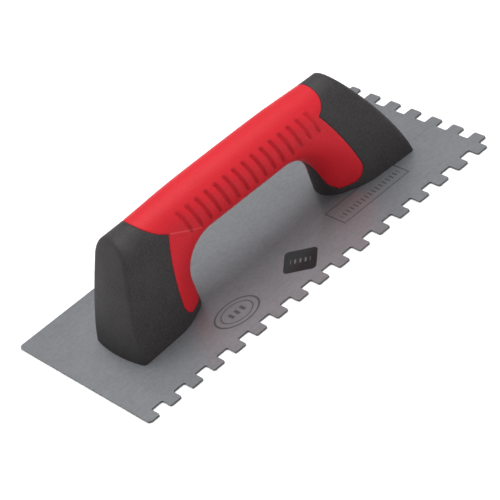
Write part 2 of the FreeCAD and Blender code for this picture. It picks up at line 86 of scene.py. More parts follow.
def angle_setting(name, radians, description):
    """An angle setting."""
    return FloatProperty(name=name, default=radians, subtype="ANGLE", description=description)


def colour_setting(name, red, green, blue, description):
    """A colour setting, in linear light."""
    return FloatVectorProperty(name=name, size=4, default=(red, green, blue, 1.0), min=0.0, max=1.0,
                               subtype="COLOR", description=description)


def in_millimetres(settings):
    """The values of a settings group, with its lengths in millimetres."""
    plain = SimpleNamespace()
    for name in settings.__annotations__:
        value = getattr(settings, name)
        several = hasattr(value, "__len__")
        if settings.bl_rna.properties[name].unit == "LENGTH":
            value = [round(part / MM, 4) for part in value] if several else round(value / MM, 4)
        elif several:
            value = tuple(value)
        setattr(plain, name, value)
    return plain


class TrowelHandleSettings(bpy.types.PropertyGroup):
    """The handle's outer form, by the same sizes as the construction model."""

    half_length: millimetres("Half length", 113.0, "From the middle to the crown of an end")
    crown_radius: millimetres("Crown radius", 101.5, "Plan radius of each end")
    foot_height: millimetres("Foot height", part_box("blade")[1].z / MM, "Height of the blade's upper face")
    stations: lengths("Stations", (0.0, 38.0, 74.0, 113.0), "Places of the middle, waist, post and end")
    foot_half: lengths("Foot half width", (16.5, 17.6, 22.0, 24.5), "Half width low down, at each station")
    top_height: lengths("Top height", (72.6, 72.3, 70.8, 70.8), "Height of the top, at each station")
    top_radius: lengths("Top radius", (16.5, 16.5, 15.5, 15.5), "Radius of the round top, at each station")
    gap_half: millimetres("Gap half length", 51.5, "Half the length of the finger gap")
    gap_top: millimetres("Gap height", 37.7, "Height of the grip's underside")
    gap_corner: millimetres("Gap corner radius", 22.0, "Corner radius of the finger gap")
    rim_radius: millimetres("Rim radius", 17.0, "Radius of the round rim of the finger gap")
    rim_angle: angle_setting("Rim angle", math.radians(62.0), "How far the rim's arc goes round")
    rim_blend: millimetres("Rim blend", 3.0, "Softness between the sides and the rim")
    edge_round: millimetres("Edge rounding", 2.4, "Softness of the outer upright edges")
    end_height: millimetres("End height", 66.0, "Where the top setback is given")
    mid_setback: each_end("Middle setback", 9.0, 10.2, "How far an end leans in at half the end height")
    top_setback: each_end("Top setback", 22.0, 28.2, "How far an end leans in at the end height")
    skin: millimetres("Skin thickness", 2.5, "Thickness of the soft grip")
    rings: IntProperty(name="Rings", default=360, min=40, description="Sections along the handle")
    spokes: IntProperty(name="Spokes", default=184, min=32, description="Points round each section")


class TrowelGripSettings(bpy.types.PropertyGroup):
    """Where the soft grip ends on the hard core, seen from the side and from the finger gap."""

    toe_reach: each_end("Toe reach", 65.7, 64.1, "From the middle to the bottom of a leg")
    toe_height: millimetres("Toe height", 4.8, "Height of the bottom of a leg")
    toe_radius: millimetres("Toe radius", 10.0, "Roundness of the toe")
    leg_reach: each_end("Leg reach", 70.3, 74.3, "From the middle to the outer side of a leg")
    leg_height: millimetres("Leg height", 16.5, "Height where a leg is widest")
    leg_radius: millimetres("Leg radius", 150.0, "Bow of a leg's outer side")
    neck: lengths("Neck", (60.1, 58.2), "Reach and height of the point where leg and lobe meet")
    crown_reach: each_end("Crown reach", 74.1, 68.5, "From the middle to the end of the lobe")
    crown_height: millimetres("Crown height", 71.8, "Height of the end of the lobe")
    lobe_radius: each_end("Lobe radius", 36.0, 15.6, "Roundness of the lobe")
    tongue_foot: each_end("Tongue foot", 9.5, 12.5, "Half width of the tongue's foot")
    tongue_foot_height: millimetres("Tongue foot height", 6.0, "Height of the tongue's foot")
    tongue_neck: lengths("Tongue neck", (6.5, 14.0), "Half width and height of the tongue's neck")
    tongue_tip: lengths("Tongue tip", (1.5, 31.0), "Half width and height of the tongue's tip")
    tongue_flare: millimetres("Tongue flare", 12.0, "Radius between the tongue's foot and neck")
    tongue_bow: millimetres("Tongue bow", 60.0, "Radius between the tongue's neck and tip")
    joint_sink: millimetres("Joint depth", 0.22, "How far the surface sinks where the mouldings meet")
    joint_half: millimetres("Joint half width", 0.8, "From the joint to where the surface is level again")
    joint_shade: millimetres("Joint shade", 3.0, "How far from the joint the mark for the material fades")
    parting_start: lengths("Parting line start", (38.5, 47.5), "Where the parting line leaves the gap")
    parting_run: lengths("Parting line run", (20.0, 10.2), "How far the parting line goes out and up")


class TrowelFootSettings(bpy.types.PropertyGroup):
    """The hollow underside of each foot and the nut's well above it."""

    cavity_inner: millimetres("Cavity inner reach", 57.5, "From the middle to the cavity's nose")
    cavity_outer: millimetres("Cavity outer reach", 107.0, "From the middle to the cavity's far side")
    cavity_half: millimetres("Cavity half width", 20.0, "Half the width of the cavity")
    cavity_top: millimetres("Cavity top", 27.0, "Height of the cavity's ceiling")
    draught: millimetres("Draught", 6.9, "How far the cavity's sides draw in on their way up")
    nose_half: millimetres("Nose half width", 5.0, "Half the width of the cavity's flat nose")
    nose_chamfer: millimetres("Nose chamfer", 9.0, "Size of the chamfer beside the nose")
    shoulder_slope: FloatProperty(name="Shoulder", default=2.5,
                                  description="Reach of the full width, in nose chamfers from the nose")
    boss_radius: millimetres("Boss radius", 7.5, "Radius of the boss round the stud")
    rib_half: millimetres("Rib half thickness", 1.2, "Half the thickness of a rib")
    rib_low: millimetres("Rib foot", 3.0, "Height of the ribs' feet, on the mounting plate")
    rib_top: millimetres("Rib top", 23.0, "Height that the ribs are cut to")
    cross_rib: millimetres("Cross rib", 86.0, "From the middle to the cross rib")
    hole_radius: millimetres("Stud hole radius", 3.3, "Radius of the hole for the stud")
    recess_radius: millimetres("Recess radius", 4.8, "Radius of the recess for the stud's collar")
    recess_top: millimetres("Recess top", 4.3, "Height of the recess")
    well_radius: millimetres("Well radius", 6.3, "Radius of the nut's well")
    well_floor: millimetres("Well floor", 37.0, "Height of the seat under the washer")
    well_top: millimetres("Well top", 69.5, "Height where the well ends under the skin")


class TrowelGrooveSettings(bpy.types.PropertyGroup):
    """The finger grooves in both sides of the grip."""

    count: IntProperty(name="Count", default=15, min=1, description="Grooves on each side")
    spacing: millimetres("Spacing", 7.3, "From one groove to the next")
    start: millimetres("Start", -49.0, "Where the first groove's top is")
    lean: millimetres("Lean", 4.0, "How far each groove leans on its way down")
    width: millimetres("Half width", 1.8, "From a groove's middle to its edge")
    depth: millimetres("Depth", 1.25, "Depth of each groove")
    radius: millimetres("Radius", 16.5, "Radius of the grip's round side")
    centre_height: millimetres("Centre height", 55.8, "Height of the middle of the grip's section")
    top_angle: angle_setting("Top angle", 0.56, "Where a groove starts, above the section's middle")
    bottom_angle: angle_setting("Bottom angle", -0.52, "Where a groove ends, below the section's middle")


class TrowelMarkSettings(bpy.types.PropertyGroup):
    """Plain marks on the blade's upper face."""

    ring_centre: lengths("Ring centre", (-50.0, -38.0), "Middle of the two oval rings")
    ring_radii: lengths("Ring radii", (15.0, 11.0), "Half length and half width of the outer ring")
    patch_centre: lengths("Patch centre", (1.4, -37.8), "Middle of the dark patch")
    patch_half: millimetres("Patch half side", 7.4, "Half the straight side of the dark patch")
    patch_corner: millimetres("Patch corner", 2.8, "Corner radius of the dark patch")
    gauge_centre: lengths("Gauge centre", (66.0, -28.0), "Middle of the ruled frame")
    gauge_half: lengths("Gauge half sizes", (27.0, 9.0), "Half length and half width of the ruled frame")
    tick_drop: millimetres("Tick drop", 2.5, "How far the ticks lie below the middle of the frame")


class TrowelColourSettings(bpy.types.PropertyGroup):
    """The colours of the pieces."""

    blade: colour_setting("Blade", 0.222, 0.230, 0.242, "Ground spring steel")
    core: colour_setting("Handle core", 0.037, 0.033, 0.034, "Hard black plastic")
    grip: colour_setting("Soft grip", 0.58, 0.013, 0.023, "Red rubber")
    rivet: colour_setting("Rivets", 0.56, 0.57, 0.58, "Ground steel")
    zinc: colour_setting("Fixings", 0.66, 0.67, 0.66, "Zinc plated steel")
    plug: colour_setting("Well plugs", 0.05, 0.05, 0.05, "Black plastic")


class TrowelStageSettings(bpy.types.PropertyGroup):
    """The camera."""

    azimuth: angle_setting("Azimuth", math.radians(-28.03), "Round the object; zero looks along +Y")
    elevation: angle_setting("Elevation", math.radians(34.8), "Height above the horizon")
    roll: angle_setting("Roll", math.radians(-21.76), "Turn about the line of sight")
    distance: FloatProperty(name="Distance", default=1.454, subtype="DISTANCE",
                            description="From the camera to its target")
    lens: FloatProperty(name="Lens", default=176.4, unit="CAMERA", description="Focal length")
    target: FloatVectorProperty(name="Target", default=(-0.0065, 0.0007, 0.0), subtype="TRANSLATION",
                                description="The point the camera looks at")


# ---------------------------------------------------------------- shape of the handle

def smooth_through(stations, values, x):
    """A smooth curve through a few stations, for an array of places."""
    stations = np.asarray(stations, float)
    values = np.asarray(values, float)
    slopes = np.gradient(values, stations)
    slopes[0] = 0.0
    x = np.clip(x, stations[0], stations[-1])
    left = np.clip(np.searchsorted(stations, x) - 1, 0, len(stations) - 2)
    span = stations[left + 1] - stations[left]
    t = (x - stations[left]) / span
    return ((2 * t ** 3 - 3 * t ** 2 + 1) * values[left] + (t ** 3 - 2 * t ** 2 + t) * span * slopes[left]
            + (3 * t ** 2 - 2 * t ** 3) * values[left + 1] + (t ** 3 - t ** 2) * span * slopes[left + 1])


def smooth_max(a, b, k):
    """The larger of two fields, with the crease between them rounded over k."""
    blend = np.maximum(k - np.abs(a - b), 0.0) / k
    return np.maximum(a, b) + blend * blend * k * 0.25


def gap_distance(s, x, z):
    """How far a point of the side view lies outside the finger gap."""
    qx = np.abs(x) - (s.gap_half - s.gap_corner)
    qz = z - (s.gap_top - s.gap_corner)
    outside = np.hypot(np.maximum(qx, 0.0), np.maximum(qz, 0.0))
    return outside + np.minimum(np.maximum(qx, qz), 0.0) - s.gap_corner


def end_setback(s, end, z):
    """How far an end leans in at a height: a power curve through its middle and top setbacks."""
    middle, top = s.mid_setback[end], s.top_setback[end]
    bend = math.log2(top / middle)
    return top * (np.maximum(z, 0.0) / s.end_height) ** bend


def form_field(s, p):
    """Below zero inside the handle, above zero outside, about the distance near the surface."""
    x, y, z = np.abs(p[..., 0]), np.abs(p[..., 1]), p[..., 2]
    foot = smooth_through(s.stations, s.foot_half, x)
    radius = smooth_through(s.stations, s.top_radius, x)
    centre = smooth_through(s.stations, s.top_height, x) - radius
    rise = centre - s.foot_height
    reach = np.hypot(foot, rise)
    normal = np.arctan2(rise, -foot) - np.arccos(-radius / reach)
    wall = (y - foot) * np.cos(normal) + (z - s.foot_height) * np.sin(normal)
    round_top = np.hypot(y, z - centre) - radius
    side = np.where(np.arctan2(z - centre, y) > normal, round_top, wall)

    setback = np.where(p[..., 0] < 0.0, end_setback(s, 0, z), end_setback(s, 1, z))
    end = np.hypot(np.maximum(x - (s.half_length - s.crown_radius) + setback, 0.0), y) - s.crown_radius

    depth = gap_distance(s, x, z)
    away = s.rim_radius - depth
    arc = np.hypot(away, y) - s.rim_radius
    straight = away * math.cos(s.rim_angle) + y * math.sin(s.rim_angle) - s.rim_radius
    rim = np.where(np.arctan2(y, away) > s.rim_angle, straight, arc)
    rim = np.where(away < 0.0, straight, rim)
    return smooth_max(smooth_max(side, end, s.edge_round), rim, s.rim_blend)


def section_planes(s, rings):
    """Where each section starts on the gap's rim and which way it runs, from foot to foot."""
    low = s.gap_top - s.gap_corner
    half = s.gap_half - s.gap_corner
    post_share, corner_share = 0.05, 0.30
    feet = max(int(rings * post_share), 4)
    fan = int(rings * corner_share)
    grip = rings - 2 * feet - 2 * fan
    starts, ways = [], []
    for z in np.linspace(s.foot_height, low, feet, endpoint=False):
        starts.append((s.gap_half, z))
        ways.append((1.0, 0.0))
    for turn in np.linspace(0.0, math.pi / 2, fan, endpoint=False):
        way = (math.cos(turn), math.sin(turn))
        starts.append((half + s.gap_corner * way[0], low + s.gap_corner * way[1]))
        ways.append(way)
    for x in np.linspace(half, 0.0, grip // 2, endpoint=False):
        starts.append((x, s.gap_top))
        ways.append((0.0, 1.0))
    starts, ways = np.array(starts), np.array(ways)
    middle = np.array([[0.0, s.gap_top]]), np.array([[0.0, 1.0]])
    flip = np.array([-1.0, 1.0])
    starts = np.vstack([starts, middle[0], starts[::-1] * flip])
    ways = np.vstack([ways, middle[1], ways[::-1] * flip])
    return starts, ways


def cast(s, origins, directions, level, reach=140.0):
    """How far along each direction the field reaches a level, from a place inside."""
    near = np.zeros(origins.shape[:-1])
    far = np.full(origins.shape[:-1], reach)
    for _ in range(34):
        middle = (near + far) * 0.5
        inside = form_field(s, origins + directions * middle[..., None]) < level
        near = np.where(inside, middle, near)
        far = np.where(inside, far, middle)
    return (near + far) * 0.5


def form_mesh(s, name, inset, rings, spokes):
    """The handle's closed outer surface, or one that lies inset below it, from foot to foot."""
    starts, ways = section_planes(s, rings)
    along = np.stack([ways[:, 0], np.zeros(len(ways)), ways[:, 1]], axis=-1)
    rim = np.stack([starts[:, 0], np.zeros(len(starts)), starts[:, 1]], axis=-1)
    start_depth = 6.0
    inner = rim + along * start_depth
    depth = cast(s, inner, along, 0.0) + start_depth
    centres = rim + along * (depth * 0.5)[:, None]
    angles = (np.arange(spokes) + 0.5) / spokes * 2 * math.pi
    across = np.array([0.0, 1.0, 0.0])
    rays = (along[:, None, :] * np.cos(angles)[None, :, None] + across * np.sin(angles)[None, :, None])
    origins = np.repeat(centres[:, None, :], spokes, axis=1)
    points = origins + rays * cast(s, origins, rays, -inset)[..., None]

    mesh = bpy.data.meshes.new(name)
    count = len(starts)
    grid = np.arange(count * spokes).reshape(count, spokes)
    after = np.roll(grid, -1, axis=1)
    quads = np.stack([grid[:-1], grid[1:], after[1:], after[:-1]], axis=-1).reshape(-1, 4)
    faces = quads.tolist() + [grid[0].tolist(), grid[-1][::-1].tolist()]
    mesh.from_pydata((points.reshape(-1, 3) * MM).tolist(), [], faces)
    return face_outwards(mesh)


def face_outwards(mesh):
    """Turn every face of a closed mesh outwards."""
    work = bmesh.new()
    work.from_mesh(mesh)
    bmesh.ops.recalc_face_normals(work, faces=work.faces)
    if work.calc_volume(signed=True) < 0:
        bmesh.ops.reverse_faces(work, faces=work.faces)
    work.to_mesh(mesh)
    work.free()
    return mesh


# ---------------------------------------------------------------- simple closed tools

def extrude_outline(name, outline, axis, low, high, taper=0.0):
    """A closed prism on an outline; axis is the direction it runs, taper draws its far end in."""
    outline = np.asarray(outline, float)
    far_outline = draw_in(outline, taper) if taper else outline
    points = []
    for flat, height in ((outline, low), (far_outline, high)):
        for a, b in flat:
            points.append({"X": (height, a, b), "Y": (a, height, b), "Z": (a, b, height)}[axis])
    count = len(outline)
    ring = range(count)
    faces = [[i, (i + 1) % count, count + (i + 1) % count, count + i] for i in ring]
    faces += [list(ring)[::-1], [count + i for i in ring]]
    mesh = bpy.data.meshes.new(name)
    mesh.from_pydata([[c * MM for c in p] for p in points], [], faces)
    return face_outwards(mesh)


def draw_in(outline, amount):
    """A convex outline with every side moved inwards by the same amount."""
    count = len(outline)
    area = sum(outline[i - 1][0] * outline[i][1] - outline[i][0] * outline[i - 1][1] for i in range(count))
    turn = math.copysign(1.0, area)
    lines = []
    for i in range(count):
        start, end = outline[i], outline[(i + 1) % count]
        way = (end - start) / np.linalg.norm(end - start)
        normal = np.array([-way[1], way[0]]) * turn
        lines.append((normal, normal @ start + amount))
    corners = []
    for i in range(count):
        (n0, c0), (n1, c1) = lines[i - 1], lines[i]
        corners.append(np.linalg.solve(np.array([n0, n1]), np.array([c0, c1])))
    return np.array(corners)


def circle_outline(x, y, radius, count=48):
    """Points round a circle."""
    turns = np.arange(count) / count * 2 * math.pi
    return np.stack([x + radius * np.cos(turns), y + radius * np.sin(turns)], axis=-1)


def arc_points(start, end, radius, count=14):
    """Points from start to end along the short arc; a positive radius bulges to the right."""
    start, end = np.asarray(start, float), np.asarray(end, float)
    chord = end - start
    half = np.linalg.norm(chord) / 2
    side = np.array([chord[1], -chord[0]]) / (2 * half) * math.copysign(1.0, radius)
    centre = (start + end) / 2 - side * math.sqrt(radius ** 2 - half ** 2)
    first = math.atan2(*(start - centre)[::-1])
    last = math.atan2(*(end - centre)[::-1])
    sweep = (last - first + math.pi) % (2 * math.pi) - math.pi
    turns = first + sweep * np.linspace(0, 1, count, endpoint=False)
    return (centre + abs(radius) * np.stack([np.cos(turns), np.sin(turns)], axis=-1)).tolist()


# How far tools run past the faces that they cut, in millimetres.
PAST_TOP = 8.0
BELOW_FOOT = 11.0
OVERRUN = 3.0
ACROSS_HANDLE = 40.0
INTO_POST = 60.0


def skin_side(k, end):
    """One end of the soft grip's side-view outline, from its toe up to the top of the grip."""
    toe = (k.toe_reach[end], k.toe_height)
    leg = (k.leg_reach[end], k.leg_height)
    neck = tuple(k.neck)
    crown = (k.crown_reach[end], k.crown_height)
    above = [crown[0], crown[1] + PAST_TOP]
    return (arc_points(toe, leg, k.toe_radius) + arc_points(leg, neck, k.leg_radius, 20)
            + arc_points(neck, crown, k.lobe_radius[end], 18) + [list(crown), above])


def skin_outline(k):
    """The side-view outline of the soft grip, in millimetres, counter-clockwise."""
    return skin_side(k, 1) + [[-x, z] for x, z in reversed(skin_side(k, 0))]


def tongue_outline(k, end):
    """The bare black tongue that runs up the inner face of a post, looking along X."""
    foot = (k.tongue_foot[end], k.tongue_foot_height)
    neck, tip = tuple(k.tongue_neck), tuple(k.tongue_tip)
    half = ([(foot[0], foot[1] - BELOW_FOOT)] + arc_points(foot, neck, -k.tongue_flare, 8)
            + arc_points(neck, tip, -k.tongue_bow, 8) + [tip])
    return half + [(-y, z) for y, z in reversed(half)]


def carve(base, tool, mode):
    """Combine two meshes as closed solids and return the result as a new mesh."""
    holder = bpy.data.objects.new("carve_base", base)
    cutter = bpy.data.objects.new("carve_tool", tool)
    for item in (holder, cutter):
        bpy.context.scene.collection.objects.link(item)
    step = holder.modifiers.new("carve", "BOOLEAN")
    step.operation = mode
    step.solver = "EXACT"
    step.object = cutter
    bpy.context.view_layer.update()
    shaped = holder.evaluated_get(bpy.context.evaluated_depsgraph_get())
    mesh = bpy.data.meshes.new_from_object(shaped)
    for item in (holder, cutter):
        bpy.data.objects.remove(item)
    return mesh


def box_outline(x, y, half_x, half_y):
    """The corners of a rectangle about a middle, counter-clockwise."""
    return [(x - half_x, y - half_y), (x + half_x, y - half_y), (x + half_x, y + half_y),
            (x - half_x, y + half_y)]


def cavity_meshes(s, f, end, side):
    """The hollow parts of one foot: the cavity, the stud's hole and recess, and the nut's well."""
    shoulder = f.cavity_inner + f.nose_chamfer * f.shoulder_slope
    half = [(f.cavity_inner, f.nose_half), (f.cavity_inner + f.nose_chamfer, f.nose_half + f.nose_chamfer),
            (shoulder, f.cavity_half), (f.cavity_outer, f.cavity_half)]
    outline = [(side * x, -y) for x, y in half] + [(side * x, y) for x, y in reversed(half)]
    low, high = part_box(end + "_stud")
    stud = round((low.x + high.x) / 2 / MM, 3)
    through = f.well_floor + OVERRUN
    hollow = extrude_outline("hollow", outline, "Z", s.foot_height - OVERRUN, f.cavity_top, f.draught)
    rib_middle = side * (abs(stud) + s.half_length) / 2
    rib_reach = (s.half_length - abs(stud)) / 2
    past_cavity = f.cavity_half * 1.5
    cross_rib = box_outline(side * f.cross_rib, 0, f.rib_half, past_cavity)
    long_rib = box_outline(rib_middle, 0, rib_reach, f.rib_half)
    keep = [extrude_outline("boss", circle_outline(stud, 0, f.boss_radius), "Z", f.rib_low, through),
            extrude_outline("cross_rib", cross_rib, "Z", f.rib_low, f.rib_top),
            extrude_outline("long_rib", long_rib, "Z", f.rib_low, f.rib_top)]
    for item in keep:
        hollow = carve(hollow, item, "DIFFERENCE")
    hole = extrude_outline("hole", circle_outline(stud, 0, f.hole_radius), "Z", s.foot_height + 1.0, through)
    recess = extrude_outline("recess", circle_outline(stud, 0, f.recess_radius), "Z",
                             s.foot_height - 0.5, f.recess_top)
    well = extrude_outline("well", circle_outline(stud, 0, f.well_radius), "Z", f.well_floor, f.well_top)
    return [hollow, recess, hole, well]


def outline_distance(points, outline):
    """Distance from each 2-D point to the nearest side of an outline."""
    outline = np.asarray(outline, float)
    best = np.full(len(points), 1e9)
    for start, end in zip(outline, np.roll(outline, -1, axis=0)):
        way = end - start
        t = np.clip(((points - start) @ way) / (way @ way), 0, 1)
        best = np.minimum(best, np.linalg.norm(points - start - t[:, None] * way, axis=1))
    return best


def finish_surface(mesh, s, k):
    """Sink the surface a little along the joint of the two mouldings and mark it for the material."""
    on_surface, nudge, far = 0.15, 0.05, 9.0
    post_reach, above_top = 60.0, 73.5
    co = np.empty(len(mesh.vertices) * 3)
    mesh.vertices.foreach_get("co", co)
    co = co.reshape(-1, 3) / MM
    seam = outline_distance(co[:, [0, 2]], skin_outline(k))
    seam = np.where(co[:, 2] > above_top, far, seam)
    tongue = np.where(co[:, 0] < 0.0, outline_distance(co[:, [1, 2]], tongue_outline(k, 0)),
                      outline_distance(co[:, [1, 2]], tongue_outline(k, 1)))
    beside_tongue = ((np.abs(co[:, 0]) < post_reach) & (co[:, 2] > k.toe_height + 0.2)
                     & (co[:, 2] < k.tongue_tip[1] + 2.5))
    seam = np.where(beside_tongue, np.minimum(seam, tongue), seam)
    field = form_field(s, co)
    outer = np.abs(field) < on_surface
    slope = np.stack([form_field(s, co + np.eye(3)[i] * nudge) - field for i in range(3)], axis=-1)
    slope /= np.maximum(np.linalg.norm(slope, axis=1), 1e-9)[:, None]
    drop = k.joint_sink * np.clip(1.0 - seam / k.joint_half, 0.0, 1.0) ** 2 * outer
    co -= slope * drop[:, None]
    mesh.vertices.foreach_set("co", (co * MM).ravel())
    mark = mesh.attributes.new("seam", "FLOAT", "POINT")
    mark.data.foreach_set("value", np.clip(seam / k.joint_shade, 0.0, 1.0) * outer + (1.0 - outer))
    mesh.update()


def shade_by_angle(mesh, angle):
    """Shade smooth, with every edge sharper than the angle kept crisp."""
    work = bmesh.new()
    work.from_mesh(mesh)
    for face in work.faces:
        face.smooth = True
    for edge in work.edges:
        edge.smooth = len(edge.link_faces) == 2 and edge.calc_face_angle(0.0) < angle
    work.to_mesh(mesh)
    work.free()


# ---------------------------------------------------------------- shader helpers

class Wire:
    """One value inside a node tree; arithmetic on it adds math nodes."""

    def __init__(self, tree, socket):
        self.tree = tree
        self.socket = socket

    def math(self, kind, *others):
        """The result of a math node on this value and others."""
        node = self.tree.nodes.new("ShaderNodeMath")
        node.operation = kind
        for slot, value in enumerate((self,) + others):
            if isinstance(value, Wire):
                self.tree.links.new(value.socket, node.inputs[slot])
            else:
                node.inputs[slot].default_value = value
        return Wire(self.tree, node.outputs[0])

    def __add__(self, other):
        return self.math("ADD", other)

    def __sub__(self, other):
        return self.math("SUBTRACT", other)

    def __mul__(self, other):
        return self.math("MULTIPLY", other)

    def __truediv__(self, other):
        return self.math("DIVIDE", other)

    def abs(self):
        return self.math("ABSOLUTE")

    def low(self, other):
        return self.math("MINIMUM", other)

    def high(self, other):
        return self.math("MAXIMUM", other)

    def step_down(self, edge, soft):
        """One below the edge, nought above it, over a soft band."""
        node = self.tree.nodes.new("ShaderNodeMapRange")
        node.interpolation_type = "SMOOTHSTEP"
        self.tree.links.new(self.socket, node.inputs["Value"])
        node.inputs["From Min"].default_value = edge - soft
        node.inputs["From Max"].default_value = edge + soft
        node.inputs["To Min"].default_value = 1.0
        node.inputs["To Max"].default_value = 0.0
        return Wire(self.tree, node.outputs["Result"])


def group(name, inputs, outputs):
    """A new shader node group with its sockets; returns the tree, its input node and output node."""
    tree = bpy.data.node_groups.new(name, "ShaderNodeTree")
    kinds = {float: "NodeSocketFloat", tuple: "NodeSocketColor", str: "NodeSocketVector"}
    for label, default in inputs:
        item = tree.interface.new_socket(label, in_out="INPUT", socket_type=kinds[type(default)])
        if not isinstance(default, str):
            item.default_value = default
    for label, kind in outputs:
        tree.interface.new_socket(label, in_out="OUTPUT", socket_type=kinds[kind])
    return tree, tree.nodes.new("NodeGroupInput"), tree.nodes.new("NodeGroupOutput")


def noise(tree, vector, scale, detail=3.0, rough=0.5):
    """A noise texture's value."""
    node = tree.nodes.new("ShaderNodeTexNoise")
    tree.links.new(vector, node.inputs["Vector"])
    if isinstance(scale, (int, float)):
        node.inputs["Scale"].default_value = scale
    else:
        tree.links.new(scale, node.inputs["Scale"])
    node.inputs["Detail"].default_value = detail
    node.inputs["Roughness"].default_value = rough
    return Wire(tree, node.outputs["Fac"])


def mix_colour(tree, factor, first, second):
    """A colour between two, each a fixed colour or a socket."""
    node = tree.nodes.new("ShaderNodeMix")
    node.data_type = "RGBA"
    for slot, value in ((0, factor), (6, first), (7, second)):
        if isinstance(value, Wire):
            tree.links.new(value.socket, node.inputs[slot])
        elif isinstance(value, bpy.types.NodeSocket):
            tree.links.new(value, node.inputs[slot])
        else:
            node.inputs[slot].default_value = value
    return node.outputs[2]


def stretched(tree, vector, scale):
    """Coordinates scaled by a different amount on each axis."""
    node = tree.nodes.new("ShaderNodeMapping")
    tree.links.new(vector, node.inputs["Vector"])
    node.inputs["Scale"].default_value = scale
    return node.outputs["Vector"]


def plastic_group():
    """Moulded plastic: a fine spark-eroded texture, slow colour drift and a little dust."""
    tree, src, out = group("Moulded surface", [
        ("Vector", "vector"), ("Colour", (0.5, 0.5, 0.5, 1.0)), ("Drift", 0.15), ("Mottle", 0.2),
        ("Dust", 0.06), ("Roughness", 0.5), ("Grain", 2600.0)],
        [("Colour", tuple), ("Roughness", float), ("Height", float)])
    vector = src.outputs["Vector"]
    drift = noise(tree, vector, 38.0, 4.0)
    fine = noise(tree, vector, src.outputs["Grain"], 2.0)
    speck = noise(tree, vector, 900.0, 2.0)
    dust_amount = (drift - 0.5).high(0.0) * speck * 4.0 * Wire(tree, src.outputs["Dust"])
    shade = (drift - 0.35) * Wire(tree, src.outputs["Drift"]) * 2.0
    shade = shade + (speck - 0.42) * Wire(tree, src.outputs["Mottle"]) * 2.0
    darker = mix_colour(tree, shade, src.outputs["Colour"], (0.0, 0.0, 0.0, 1.0))
    dusty = mix_colour(tree, dust_amount, darker, (0.42, 0.41, 0.40, 1.0))
    tree.links.new(dusty, out.inputs["Colour"])
    rough = Wire(tree, src.outputs["Roughness"]) + (fine - 0.5) * 0.12 + (drift - 0.5) * 0.10
    tree.links.new(rough.socket, out.inputs["Roughness"])
    height = fine * 0.7 + speck * 0.3
    tree.links.new(height.socket, out.inputs["Height"])
    return tree


def steel_group():
    """Rolled and ground steel: fine lines along X, cloudy tone, small scuffs."""
    tree, src, out = group("Ground steel", [
        ("Vector", "vector"), ("Colour", (0.5, 0.5, 0.5, 1.0)), ("Cloud", 0.2), ("Roughness", 0.3)],
        [("Colour", tuple), ("Roughness", float), ("Height", float)])
    vector = src.outputs["Vector"]
    lines = noise(tree, stretched(tree, vector, (14.0, 900.0, 60.0)), 1.0, 3.0, 0.65)
    fine = noise(tree, stretched(tree, vector, (60.0, 4200.0, 300.0)), 1.0, 2.0, 0.6)
    cloud = noise(tree, vector, 26.0, 5.0, 0.6)
    mottle = noise(tree, vector, 480.0, 3.0, 0.65)
    tone = (cloud - 0.5) * 1.2 + (mottle - 0.5) * 1.9 + (lines - 0.5) * 0.5
    shade = (tone * Wire(tree, src.outputs["Cloud"]) + 0.12).high(0.0)
    colour = mix_colour(tree, shade, src.outputs["Colour"], (0.10, 0.10, 0.105, 1.0))
    tree.links.new(colour, out.inputs["Colour"])
    rough = Wire(tree, src.outputs["Roughness"]) + (lines - 0.5) * 0.10 + (cloud - 0.5) * 0.10
    tree.links.new(rough.socket, out.inputs["Roughness"])
    tree.links.new((lines * 0.5 + fine * 0.5).socket, out.inputs["Height"])
    return tree


def seam_group():
    """A thin dark line with a soft shoulder where two mouldings meet."""
    tree, src, out = group("Moulding joint", [("Colour", (0.5, 0.5, 0.5, 1.0)), ("Depth", 0.8)],
                           [("Colour", tuple), ("Height", float)])
    mark = tree.nodes.new("ShaderNodeAttribute")
    mark.attribute_name = "seam"
    near = Wire(tree, mark.outputs["Fac"]).step_down(0.10, 0.07)
    colour = mix_colour(tree, near * Wire(tree, src.outputs["Depth"]), src.outputs["Colour"],
                        (0.02, 0.008, 0.009, 1.0))
    tree.links.new(colour, out.inputs["Colour"])
    tree.links.new((near * -1.0).socket, out.inputs["Height"])
    return tree


def new_material(name):
    """An empty node material: its tree, its surface shader and the object coordinates."""
    material = bpy.data.materials.new(name)
    material.use_nodes = True
    tree = material.node_tree
    tree.nodes.clear()
    out = tree.nodes.new("ShaderNodeOutputMaterial")
    shader = tree.nodes.new("ShaderNodeBsdfPrincipled")
    tree.links.new(shader.outputs[0], out.inputs["Surface"])
    place = tree.nodes.new("ShaderNodeTexCoord").outputs["Object"]
    return material, tree, shader, place


def add_group(tree, shared, values, vector=None):
    """Place a shared group in a material, with its own values."""
    node = tree.nodes.new("ShaderNodeGroup")
    node.node_tree = shared
    if vector is not None:
        tree.links.new(vector, node.inputs["Vector"])
    for label, value in values.items():
        if isinstance(value, bpy.types.NodeSocket):
            tree.links.new(value, node.inputs[label])
        else:
            node.inputs[label].default_value = value
    return node


def add_bump(tree, shader, height, distance, strength):
    """Feed a height into the shader's normal."""
    node = tree.nodes.new("ShaderNodeBump")
    node.inputs["Distance"].default_value = distance
    node.inputs["Strength"].default_value = strength
    tree.links.new(height.socket if isinstance(height, Wire) else height, node.inputs["Height"])
    tree.links.new(node.outputs["Normal"], shader.inputs["Normal"])
    return node


def axes_mm(tree, place):
    """The object coordinates as three values in millimetres."""
    split = tree.nodes.new("ShaderNodeSeparateXYZ")
    tree.links.new(place, split.inputs[0])
    return [Wire(tree, split.outputs[axis]) * (1.0 / MM) for axis in range(3)]


